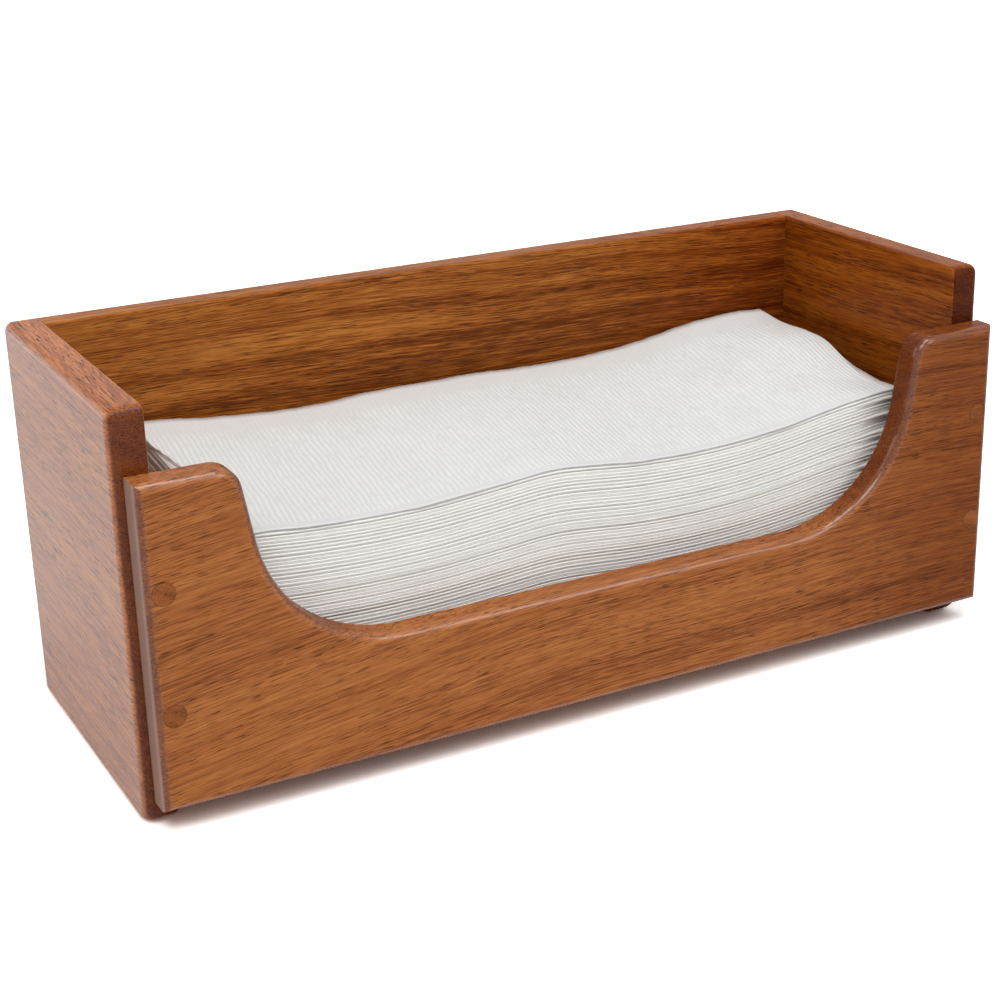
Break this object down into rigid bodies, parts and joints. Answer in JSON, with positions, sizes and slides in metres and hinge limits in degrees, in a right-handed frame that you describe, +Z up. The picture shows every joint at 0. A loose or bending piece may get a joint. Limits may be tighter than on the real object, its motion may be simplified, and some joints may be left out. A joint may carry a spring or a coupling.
{
  "type": "napkin tray",
  "caption": "Open-fronted teak tray for folded paper napkins, with a wide scoop in the front board and a pile of napkins that lifts out.",
  "frame": {"origin": "on the table under the middle of the tray's box", "axes": "+X along the length to the right as seen from the scooped front, +Y from the scooped front to the back, +Z up"},
  "size_m": [0.287, 0.1116, 0.1218],
  "materials": {
    "teak_side": "satin oiled teak, grain along the depth",
    "teak_back": "satin oiled teak, grain along the length",
    "teak_front": "satin oiled teak, grain along the length",
    "teak_bottom": "plain oiled teak",
    "screw_steel": "zinc-plated steel",
    "dowel_wood": "plain beech",
    "plug_wood": "satin oiled teak, side grain",
    "napkin_paper": "soft white tissue with fine embossed ribs"
  },
  "bodies": {
    "holder": {"left_side_panel": "teak_side", "right_side_panel": "teak_side", "back_panel": "teak_back", "front_panel": "teak_front", "bottom_panel": "teak_bottom", "front_screws": "screw_steel", "back_dowels": "dowel_wood", "plug_upper_left": "plug_wood", "plug_lower_left": "plug_wood", "plug_upper_right": "plug_wood", "plug_lower_right": "plug_wood"},
    "napkin_stack": {"napkin_stack": "napkin_paper"},
    "top_napkin": {"top_napkin": "napkin_paper"}
  },
  "joints": [
    {"name": "lift_napkin_stack", "type": "slide", "parent": "holder", "child": "napkin_stack", "axis": [0, 0, 1], "range_m": [0, 0.11]},
    {"name": "lift_top_napkin", "type": "slide", "parent": "napkin_stack", "child": "top_napkin", "axis": [0, 0, 1], "range_m": [0, 0.06]}
  ]
}
